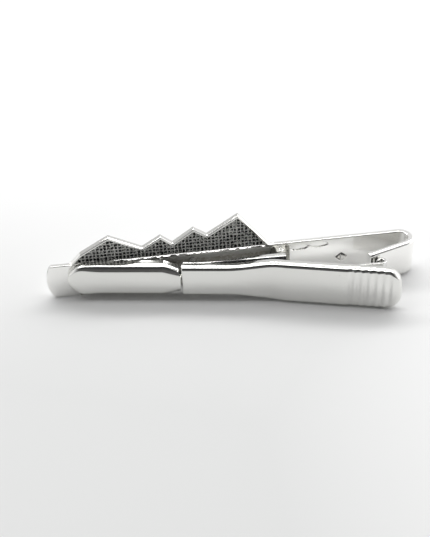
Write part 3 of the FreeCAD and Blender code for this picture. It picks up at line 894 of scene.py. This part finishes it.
def pit_grid(sizes, across, upward, first, ridge_level):
    """Grid of uneven square pits; each pit takes five lines, and the middle two both ways are sunk."""
    seed_step = 7919
    grid_mesh = bmesh.new()
    grid = []
    for i, x in enumerate(across, 5 * first):
        column = []
        for j, z in enumerate(upward):
            uneven = Random(seed_step * i + j)
            if i % 5 in (2, 3) and j % 5 in (2, 3):
                depth = sizes.pit_depth * uneven.uniform(0.6, 1.0)
            else:
                depth = 0.1 * sizes.pit_depth * uneven.random()
            shift = 0.15 * sizes.pit_pitch if i % 5 and j % 5 else 0.0
            aside, above = shift * uneven.uniform(-1, 1), shift * uneven.uniform(-1, 1)
            column.append(grid_mesh.verts.new((x + aside, ridge_level + depth, z + above)))
        grid.append(column)
    for a, b in zip(grid, grid[1:]):
        for j in range(len(a) - 1):
            grid_mesh.faces.new((a[j], b[j], b[j + 1], a[j + 1]))
    return grid_mesh


def pitted_floor(clip, outline, base, back):
    """Floor of the hollow: a grid of uneven square pits, cut off along the hollow's outline."""
    sizes = clip.crest
    pitch, wall, slope = sizes.pit_pitch, sizes.ridge / 2, sizes.pit_slope
    ridge_level = back + sizes.hollow_depth
    lines = [0.0, wall, wall + slope, pitch - wall - slope, pitch - wall]
    whole = bmesh.new()
    for left, right in zip(outline, outline[1:]):
        first = math.floor(left[0] / pitch)
        last = math.ceil(right[0] / pitch)
        rows = math.ceil((max(left[1], right[1]) - base) / pitch)
        across = [i * pitch + s for i in range(first, last) for s in lines] + [last * pitch]
        upward = [base + i * pitch + s for i in range(rows) for s in lines] + [base + rows * pitch]
        part = pit_grid(sizes, across, upward, first, ridge_level)
        above = (left[1] - right[1], 0.0, right[0] - left[0])
        for point, normal in (((left[0], 0, 0), (-1, 0, 0)), ((right[0], 0, 0), (1, 0, 0)),
                              ((left[0], 0, left[1]), above), ((0, 0, base), (0, 0, -1))):
            bmesh.ops.bisect_plane(part, geom=part.verts[:] + part.edges[:] + part.faces[:], dist=1e-9,
                                   plane_co=point, plane_no=normal, clear_outer=True)
        mesh = bpy.data.meshes.new("pits")
        part.to_mesh(mesh)
        part.free()
        whole.from_mesh(mesh)
        bpy.data.meshes.remove(mesh)
    whole.normal_update()
    glint_dice = Random(23)
    start, end = outline[0][0], outline[-1][0]
    for face in whole.faces:
        at = face.calc_center_median()
        chance = between(sizes.glint_low, sizes.glint_high, (at.x - start) / (end - start))
        # Painted highlight: a share of the upward pit walls, growing to the right, keeps the bright ridge
        # metal to make glints
        lit = face.normal.z > 0.5 and glint_dice.random() < chance
        face.material_index = 1 if at.y > ridge_level + 0.1 * sizes.pit_depth and not lit else 0
    bmesh.ops.remove_doubles(whole, verts=whole.verts, dist=SAME)
    piece = mesh_object("crest_pits", whole, [ridges_and_glints(clip.finish), oxide_and_painted_shade(clip.finish)])
    return piece


class CLIP_OT_bracket(bpy.types.Operator):
    """Build the pivot bracket: a foot and two ears"""

    bl_idname = "tie_clip.bracket"
    bl_label = "Pivot bracket"

    def execute(self, context):
        clip = context.scene.tie_clip
        sizes = clip.hinge
        low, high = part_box("pivot_bracket")
        edge = sizes.edge_round
        bm = bmesh.new()
        foot = [(low.x, low.z), (low.x, high.z), (high.x, high.z), (high.x, low.z)]
        foot = round_corners(foot, sizes.foot_corner, sizes.foot_corner)
        slab(bm, foot, high.y - sizes.foot_thick, high.y, edge, lambda x, z, y: Vector((x, y, z)))
        ear = sizes.ear_radius
        step = high.y - 0.7 * sizes.foot_thick
        flares = edge_round(0.35 * ear, 4)
        profile = [(HINGE.x - ear - aside, step - 2 * rise) for aside, rise in flares]
        profile += arc((HINGE.x, HINGE.y), (ear, ear), 180, 360, 16)
        profile += [(HINGE.x + ear + aside, step - 2 * rise) for aside, rise in reversed(flares[:-1])]
        for bottom, top in ((low.z, low.z + sizes.ear_thick), (high.z - sizes.ear_thick, high.z)):
            slab(bm, profile[::-1], bottom, top, 1.5 * edge, lambda x, y, z: Vector((x, y, z)))
        new_piece("pivot_bracket_bent", bm, [soldered_silver(clip.finish)], "bar", "pivot_bracket")
        return {"FINISHED"}


class CLIP_OT_pin(bpy.types.Operator):
    """Build the pivot pin with peened ends"""

    bl_idname = "tie_clip.pin"
    bl_label = "Pivot pin"

    def execute(self, context):
        clip = context.scene.tie_clip
        sizes = clip.hinge
        low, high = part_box("pivot_pin")
        radius = sizes.pin_radius
        bore = 0.5 * radius
        bead = (sizes.collar - bore) / 2
        half = [(0.1 * radius, 1.2 * bead), (bore, 1.2 * bead)]
        half += arc((bore + bead, bead), (bead, bead), 180, 340, 8) + [(radius, bead + sizes.pin_proud)]
        profile = [(r, low.z + h) for r, h in half] + [(r, high.z - h) for r, h in reversed(half)]
        bm = bmesh.new()
        lathe(bm, profile, lambda a, h, b: Vector((HINGE.x + a, HINGE.y + b, h)))
        new_piece("pivot_pin_peened", bm, [polished_silver(clip.finish)], "bar", "pivot_pin")
        return {"FINISHED"}


class CLIP_OT_jaw(bpy.types.Operator):
    """Build the boat-shaped jaw, its neck, its leaf and the curled knuckle"""

    bl_idname = "tie_clip.jaw"
    bl_label = "Jaw"

    def execute(self, context):
        clip = context.scene.tie_clip
        place = lever_place(clip)
        bm = bmesh.new()
        self.boat(bm, clip.jaw, clip.lever, place)
        self.leaf(bm, clip.jaw, clip.lever, place)
        finishes = [polished_silver(clip.finish), oxide_and_painted_shade(clip.finish)]
        new_piece("jaw_pressing", bm, finishes, "lever", "jaw")
        return {"FINISHED"}

    def outline(self, sizes, heel):
        """Outline of the boat seen from outside: crisp corners at the heel, round ones towards the tip."""
        tip = -sizes.reach
        half = sizes.width / 2
        corners = [
            (heel, sizes.heel_width / 2), (heel, -sizes.heel_width / 2), (heel - sizes.heel_taper, -half),
            (tip + sizes.tip_taper, -half), (tip, -sizes.tip_width / 2), (tip, sizes.tip_width / 2),
            (tip + sizes.tip_taper, half), (heel - sizes.heel_taper, half),
        ]
        steps = 10
        crisp = round_corners(corners, sizes.heel_corner, sizes.heel_corner, steps)
        blunt = round_corners(corners, sizes.tip_corner, sizes.tip_corner, steps)
        first, last = 3 * (steps + 1), 7 * (steps + 1)
        return [tuple(p) for p in crisp[:first] + blunt[first:last] + crisp[last:]]

    def boat(self, bm, sizes, lever, place):
        """Tray with rounded shoulders, flanges that deepen from the tip, and tapered ends."""
        outer = -lever.rise
        flat = outer + sizes.sheet
        tip = -sizes.reach
        heel = -(lever.back + lever.waist)
        outline = self.outline(sizes, heel)
        # The heel's end stays crisp, so distances to the edge are measured to an outline that runs on past it
        run_on, longest_step = 0.001, 0.0006
        open_heel = [(x + 2 * run_on * smooth((x - heel + run_on) / run_on), z) for x, z in outline]
        upper = sorted((p for p in outline if p[1] > 0), key=lambda p: p[0])
        stations = []
        for (x0, w0), (x1, w1) in zip(upper, upper[1:]):
            steps = max(1, math.ceil((x1 - x0) / longest_step))
            stations += [(between(x0, x1, i / steps), between(w0, w1, i / steps)) for i in range(steps)]
        stations = apart(stations + upper[-1:], lambda station: station[0])

        rings = []
        for x, edge in stations:
            depth = min(sizes.flange, sizes.tip_depth + sizes.flange_slope * (x - tip))
            swell = smooth((x - tip) / sizes.swell_run)
            shoulder = min(between(sizes.end_shoulder, sizes.shoulder, swell), depth)
            lip = min(sizes.brim, depth - sizes.sheet)
            w = edge - sizes.flange_lean * max(0.0, depth - shoulder)
            insets = [s * min(shoulder, 0.8 * w) for s in EDGE_SHARES]
            across = [i - w for i in insets] + [(w - insets[-1]) * s for s in (-0.6, -0.2, 0.2, 0.6)]
            across += [w - i for i in reversed(insets)]
            ring = []
            for z in across:
                fall = edge_drop(edge_distance(open_heel, (x, z)), shoulder, shoulder)
                crown = sizes.crown * (2 * z / sizes.width + 0.3) ** 2
                ring.append(place(x, outer + fall + crown, z))
            inside = edge - min(sizes.sheet, 0.8 * edge)
            bottom = outer + depth
            side = [(outer + 0.7 * shoulder + 0.3 * depth, w), (bottom - lip, edge), (bottom, edge - lip),
                    (bottom, inside + lip), (bottom - lip, inside)]
            fillet = max(min(shoulder - sizes.sheet, depth - sizes.sheet - lip), 0.0)
            for s in (0.0, 0.1, 0.35, 1.0):
                inwards = min(s * max(fillet, STRIP_EDGE), 0.9 * inside)
                side.append((flat + edge_drop(s * fillet, fillet, fillet), inside - inwards))
            ring += [place(x, y, z) for y, z in side] + [place(x, y, -z) for y, z in reversed(side)]
            rings.append(ring)
        skin(bm, rings)

    def leaf(self, bm, sizes, lever, place):
        """Neck, seat under the lever, tapering leaf and the knuckle that curls round the pin."""
        seat = lever.thick - lever.rise
        start = -lever.back
        end = start + sizes.seat_length
        heel = start - lever.waist
        neck = [(heel + x, y - lever.rise) for x, y in NECK_HEEL]
        neck += [(start + x, seat + y) for x, y in NECK_SEAT]
        even_strip(bm, neck, sizes.neck_width, sizes.neck_thick, place)

        path = [(x, seat) for x in spread(start, end, 5)[:-1]]
        path += [(x, seat + (x - end) * sizes.leaf_slope) for x in spread(end, sizes.leaf_end, 30)]
        shares = [min(1.0, max(0.0, (x - end) / (sizes.leaf_end - end))) for x, _ in path]
        widths = [between(sizes.seat_width, sizes.leaf_width, s) for s in shares]
        thicks = [sizes.leaf_thick + sizes.leaf_swell * smooth(1.6 * s - 0.4) for s in shares]
        before = len(bm.faces)
        strip_along(bm, path, widths, thicks, sizes.leaf_edge, place, bevel=2.4)
        bm.normal_update()
        bm.faces.ensure_lookup_table()

        # The leaf's free part is painted dark close to the face that its path runs along: painted shade for
        # the gap between leaf and lever
        outwards = place(0.0, -1.0, 0.0) - place(0.0, 0.0, 0.0)
        free_from = place(end, 0.0, 0.0).x
        for face in bm.faces[before:]:
            at = face.calc_center_median()
            free = at.x > free_from and abs(face.normal.dot(outwards)) > 0.12
            reach = min((place(x, y, at.z - HINGE.z) - at).length for x, y in path) if free else 1.0
            face.material_index = 1 if reach < 2 * sizes.leaf_edge else 0

        curl = curled_path(KNUCKLE_START, (0.0, 0.0), sizes.knuckle_radius, KNUCKLE_CURL)
        even_strip(bm, curl, sizes.knuckle_width, sizes.knuckle_thick, place)


class CLIP_OT_lever(bpy.types.Operator):
    """Build the thumb lever with its flared, ribbed pad"""

    bl_idname = "tie_clip.lever"
    bl_label = "Thumb lever"

    def execute(self, context):
        clip = context.scene.tie_clip
        sizes = clip.lever
        place = lever_place(clip)
        end = sizes.pad_reach * math.cos(sizes.pad_bend) - sizes.bend_back
        back = -sizes.back
        corner = sizes.pad_corner
        inner = sizes.inner_round
        narrow, wide = sizes.narrow / 2, sizes.wide / 2
        bend_run, ribbed_run = 0.004, 0.009

        def half_width(x):
            if x > end - corner:
                return wide - corner + math.sqrt(max(0.0, corner ** 2 - (x - end + corner) ** 2))
            along = (x + sizes.flare_start) / (sizes.flare_end + sizes.flare_start)
            return between(narrow, wide, smooth(along))

        grooves = [end - sizes.groove_inset - i * sizes.groove_pitch for i in range(sizes.groove_count)]
        edges = [sizes.edge_reach * s for s in EDGE_SHARES]
        lower = [sizes.lower_reach * s for s in EDGE_SHARES]
        ribbed = end - ribbed_run
        xs = [back + inner * s for s in EDGE_SHARES] + [end - e for e in edges]
        xs += spread(back + edges[-1], ribbed, 44) + spread(ribbed, end - edges[-1], 96)
        xs += [end - corner * (1 - math.sin(a)) for a in spread(0, math.pi / 2, 24)]
        top = [(x, half_width(x)) for x in apart(sorted(set(xs)), float)]
        beyond = back - wide
        outline = [(beyond, narrow)] + top + [(x, -w) for x, w in reversed(top)] + [(beyond, -narrow)]

        rings = []
        for x, w in top:
            square = edge_drop(x - back, inner, inner)
            bent = max(0.0, x + sizes.bend_back)
            bent *= smooth(bent / bend_run)
            face = -sizes.rise - bent * math.tan(sizes.pad_bend)
            near = [min(1.0, abs(x - g) / (sizes.groove_pitch / 2)) for g in grooves]
            groove = sizes.groove_depth * sum(0.5 + 0.5 * math.cos(math.pi * n) for n in near)
            across = [min(e - w, 0.0) for e in lower[:-1]]
            across += spread(min(lower[-1] - w, 0.0), max(w - edges[-1], 0.0), 8)
            across += [max(w - e, 0.0) for e in reversed(edges[:-1])]
            outside, inside = [], []
            for z in across:
                distance = edge_distance(outline, (x, z))
                side = smooth(0.5 + z / (1.6 * w))
                reach = between(sizes.lower_reach, sizes.edge_reach, side)
                depth = between(sizes.lower_depth, sizes.edge_depth, side)
                fall = edge_drop(distance, reach, depth) + groove + sizes.crown * (z / w + 0.3) ** 2 + square
                outside.append(place(x, face + min(fall, sizes.thick - inner), z))
                inside.append(place(x, face + sizes.thick - edge_drop(distance, inner, inner), z))
            rings.append(outside + inside[::-1])
        bm = bmesh.new()
        skin(bm, rings)
        new_piece("thumb_lever_pressed", bm, [polished_silver(clip.finish)], "lever", "thumb_lever")
        return {"FINISHED"}


class CLIP_OT_tongue(bpy.types.Operator):
    """Build the tongue whose curled end bears on the strap"""

    bl_idname = "tie_clip.tongue"
    bl_label = "Strap tongue"

    def execute(self, context):
        clip = context.scene.tie_clip
        sizes = clip.lever
        sine, cosine = math.sin(sizes.pad_bend), math.cos(sizes.pad_bend)

        def inner_face(along, away=0.0):
            x, y = along * cosine - sizes.bend_back, -sizes.rise - along * sine
            return (x + (sizes.thick + away) * sine, y + (sizes.thick + away) * cosine)

        # The curl touches the same line as the strap's outer face, less the clearance
        turn = Matrix.Rotation(sizes.closed_angle, 2)
        bow = turn @ Vector((BOW.x - HINGE.x, BOW.y - HINGE.y))
        splay = clip.strip.strap_splay
        normal = turn @ Vector((math.sin(splay), -math.cos(splay)))
        along = turn @ Vector((-math.cos(splay), -math.sin(splay)))
        outer = (BAR_HIGH.y - BAR_LOW.y) / 2 - BOW.y + sizes.tongue_clearance + sizes.tongue_curl
        centre = bow + normal * outer + along * (sizes.tongue_place * clip.strip.strap_run)
        seat = [inner_face(a) for a in spread(*TONGUE_SEAT, 8)]
        rise = [inner_face(*point) for point in TONGUE_RISE]
        path = seat + rise[:-1] + curled_path(rise[-1], tuple(centre), sizes.tongue_curl, TONGUE_CURL)
        bm = bmesh.new()
        even_strip(bm, path, sizes.tongue_width, sizes.tongue_sheet, lever_place(clip))
        new_piece("strap_tongue_curled", bm, [polished_silver(clip.finish)], "lever", "strap_tongue")
        return {"FINISHED"}


class CLIP_OT_rivets(bpy.types.Operator):
    """Build the two eyelet rivets with rolled heads"""

    bl_idname = "tie_clip.rivets"
    bl_label = "Leaf rivets"

    def execute(self, context):
        clip = context.scene.tie_clip
        sizes = clip.lever
        sheet = clip.jaw.leaf_thick
        place = lever_place(clip)
        face = sizes.thick - sizes.rise + sheet
        x = clip.jaw.seat_length * sizes.rivet_place - sizes.back
        bore = 0.5 * sizes.rivet_radius
        rim = (sizes.rivet_head - bore) / 2
        roll = (bore + rim, face + sizes.rivet_height - rim)
        profile = [(sizes.rivet_radius, face - sheet), (sizes.rivet_radius, face + 0.3 * sizes.rivet_height)]
        profile += arc(roll, (rim, rim), -20, 180, 12)
        profile += [(bore, face - 0.5 * sheet), (0.3 * bore, face - 0.6 * sheet)]
        bm = bmesh.new()
        for side in (-1, 1):
            lathe(bm, profile, lambda a, h, b: place(x + a, h, side * sizes.rivet_spread / 2 + b))
        new_piece("leaf_eyelets", bm, [polished_silver(clip.finish)], "lever", "leaf_rivets")
        return {"FINISHED"}


class CLIP_OT_stage(bpy.types.Operator):
    """Set up the table, the two lamps, the surroundings and the camera"""

    bl_idname = "tie_clip.stage"
    bl_label = "Stage"

    def execute(self, context):
        clip = context.scene.tie_clip
        stage = clip.stage
        self.table(clip.finish)
        self.surroundings(context, stage)
        self.lamp("high_lamp", stage, stage.high_angle, stage.high_lamp)
        self.lamp("back_lamp", stage, stage.back_angle, stage.back_lamp)
        self.camera(context, stage)
        context.scene.view_settings.view_transform = "Standard"
        return {"FINISHED"}

    def table(self, finish):
        """Wide table under the clip."""
        bm = bmesh.new()
        bmesh.ops.create_grid(bm, x_segments=8, y_segments=8, size=1.5)
        table = mesh_object("table", bm, [table_white(finish)])
        table.location.z = CAD_BOX[0].z

    def surroundings(self, context, stage):
        """Pale side behind the clip, dim room behind the camera, plain white where the camera sees it."""
        world = bpy.data.worlds.new("studio")
        context.scene.world = world
        world.use_nodes = True
        tree = world.node_tree
        place = add_node(tree, "TexCoord").outputs["Generated"]
        split = add_node(tree, "SeparateXYZ", Vector=place).outputs
        turn = math_node(tree, "ARCTAN2", split["Z"], math_node(tree, "MULTIPLY", split["Y"], -1.0))
        ramp = add_node(tree, "ValToRGB", Fac=remap(tree, turn, 0.0, math.pi, 0.0, 1.0))
        stops = ((0.0, stage.room), (0.15, stage.room), (0.4, stage.room_high), (0.5, stage.room_high),
                 (0.53, stage.ceiling), (0.72, stage.ceiling), (0.76, stage.backdrop), (1.0, stage.backdrop))
        while len(ramp.color_ramp.elements) < len(stops):
            ramp.color_ramp.elements.new(1.0)
        for stop, (position, light) in zip(ramp.color_ramp.elements, stops):
            stop.position = position
            stop.color = (light, light, light, 1.0)
        sideways = remap(tree, split["X"], -1.0, 1.0, 1 - stage.side_change, 1 + stage.side_change)
        aside = math_node(tree, "MULTIPLY", split["X"], split["X"])
        walls = remap(tree, aside, 0.35, 0.9, 0.0, stage.side_walls)
        light = math_node(tree, "MULTIPLY", math_node(tree, "ADD", ramp.outputs["Color"], walls), sideways)
        seen = add_node(tree, "LightPath").outputs["Is Camera Ray"]
        shown = mix_colour(tree, seen, light, (1.0, 1.0, 1.0))
        tree.links.new(shown, tree.nodes["Background"].inputs["Color"])

    def lamp(self, name, stage, turn, brightness):
        """Long strip lamp that faces the clip from an angle over it."""
        light = bpy.data.lights.new(name, "AREA")
        light.shape = "RECTANGLE"
        light.size, light.size_y = stage.lamp_length, stage.lamp_depth
        light.energy = brightness * math.pi * light.size * light.size_y
        lamp = bpy.data.objects.new(name, light)
        lamp.location = stage.lamp_reach * Vector((0.0, -math.cos(turn), math.sin(turn)))
        lamp.rotation_euler = (math.pi / 2 - turn, 0.0, 0.0)
        bpy.context.scene.collection.objects.link(lamp)

    def camera(self, context, stage):
        """Camera fitted to the edges of the clip."""
        a, e, r = stage.azimuth, stage.elevation, stage.roll
        away = Vector((math.sin(a) * math.cos(e), -math.cos(a) * math.cos(e), math.sin(e)))
        right = Vector((math.cos(a), math.sin(a), 0.0))
        up = away.cross(right)
        right, up = right * math.cos(r) + up * math.sin(r), up * math.cos(r) - right * math.sin(r)
        lens = bpy.data.cameras.new("camera")
        lens.lens = stage.lens
        lens.sensor_width = 36.0
        lens.clip_start, lens.clip_end = 0.005, 10.0
        camera = bpy.data.objects.new("camera", lens)
        matrix = Matrix((right, up, away)).transposed().to_4x4()
        matrix.translation = Vector(stage.target) + away * stage.distance
        camera.matrix_world = matrix
        context.scene.collection.objects.link(camera)
        context.scene.camera = camera


PIECES = (CLIP_OT_strip, CLIP_OT_crest, CLIP_OT_bracket, CLIP_OT_pin, CLIP_OT_jaw, CLIP_OT_lever,
          CLIP_OT_tongue, CLIP_OT_rivets)


class CLIP_PT_panel(bpy.types.Panel):
    """Buttons for the clip's pieces and its stage"""

    bl_idname = "CLIP_PT_panel"
    bl_label = "Tie clip"
    bl_space_type = "VIEW_3D"
    bl_region_type = "UI"
    bl_category = "Tie clip"

    def draw(self, context):
        for operator in PIECES + (CLIP_OT_stage,):
            self.layout.operator(operator.bl_idname)
        for group in ("strip", "crest", "hinge", "jaw", "lever", "finish", "stage"):
            box = self.layout.box()
            box.label(text=group.capitalize())
            settings = getattr(context.scene.tie_clip, group)
            for name in settings.__annotations__:
                box.prop(settings, name)


CLASSES = (StripSizes, CrestSizes, HingeSizes, JawSizes, LeverSizes, FinishColours, StageSettings,
           ClipSettings, *PIECES, CLIP_OT_stage, CLIP_PT_panel)


def register():
    """Register the classes and the clip's settings."""
    for item in CLASSES:
        bpy.utils.register_class(item)
    bpy.types.Scene.tie_clip = PointerProperty(type=ClipSettings)


def unregister():
    """Take the classes and the settings away again."""
    del bpy.types.Scene.tie_clip
    for item in reversed(CLASSES):
        bpy.utils.unregister_class(item)


def main():
    """Build the clip and its stage."""
    register()
    bpy.ops.tie_clip.strip()
    bpy.ops.tie_clip.crest()
    bpy.ops.tie_clip.bracket()
    bpy.ops.tie_clip.pin()
    bpy.ops.tie_clip.jaw()
    bpy.ops.tie_clip.lever()
    bpy.ops.tie_clip.tongue()
    bpy.ops.tie_clip.rivets()
    bpy.ops.tie_clip.stage()
    bpy.context.view_layer.update()


if __name__ == "__main__":
    main()
